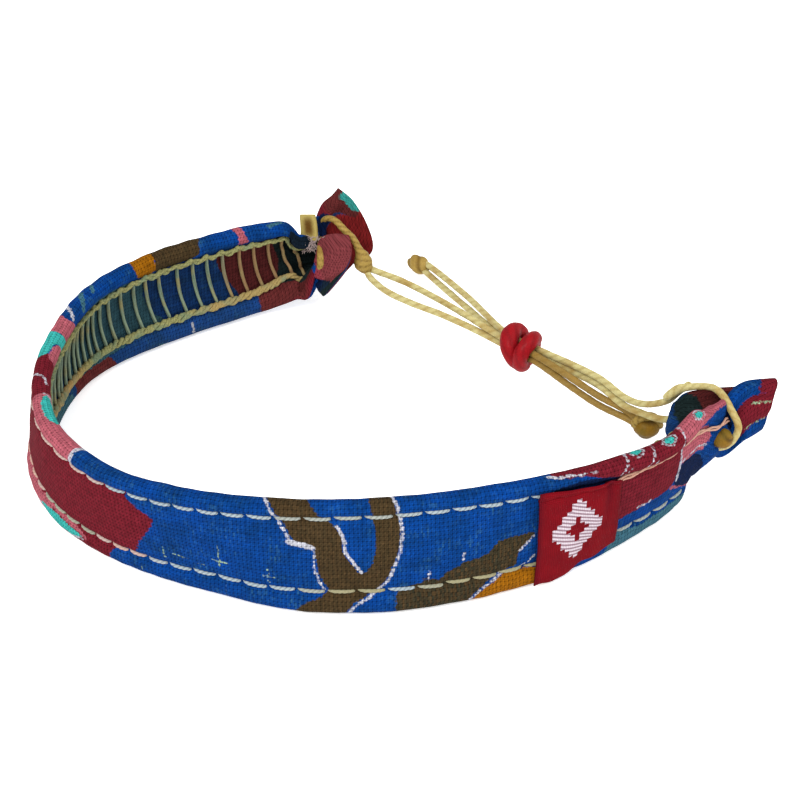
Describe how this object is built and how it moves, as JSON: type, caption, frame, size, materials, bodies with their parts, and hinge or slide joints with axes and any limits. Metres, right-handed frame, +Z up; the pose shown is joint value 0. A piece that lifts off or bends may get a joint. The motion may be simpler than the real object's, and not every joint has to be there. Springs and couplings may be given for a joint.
{
  "type": "cloth bracelet",
  "caption": "Printed cloth bracelet, a flat stitched band gathered at both ends, closed by waxed cords through a sliding knot, with a small woven label.",
  "frame": {"origin": "centre of the bounding box in plan, on the surface that the bracelet lies on; the free cord pieces are left out of that box", "axes": "+Z up along the wrist's axis; +X towards the gathered end beside the label; +Y away from the side that carries the label"},
  "size_m": [0.0825, 0.0667, 0.0135],
  "materials": {
    "printed_cotton": "matt plain-woven cotton with a bold many-coloured print on a blue ground",
    "woven_label": "dense red woven label tape with a pale woven motif",
    "waxed_cord": "tan waxed cotton cord, slightly glossy",
    "red_cord": "bright red waxed cord, slightly glossy"
  },
  "bodies": {
    "root": {"band": "printed_cotton", "label": "woven_label", "left_tie": "waxed_cord", "right_tie": "waxed_cord", "left_strand_upper": "waxed_cord", "left_strand_lower": "waxed_cord", "right_strand_upper": "waxed_cord", "right_strand_lower": "waxed_cord", "slide_knot": "red_cord", "left_end_knot": "waxed_cord", "right_end_knot": "waxed_cord"}
  },
  "joints": []
}
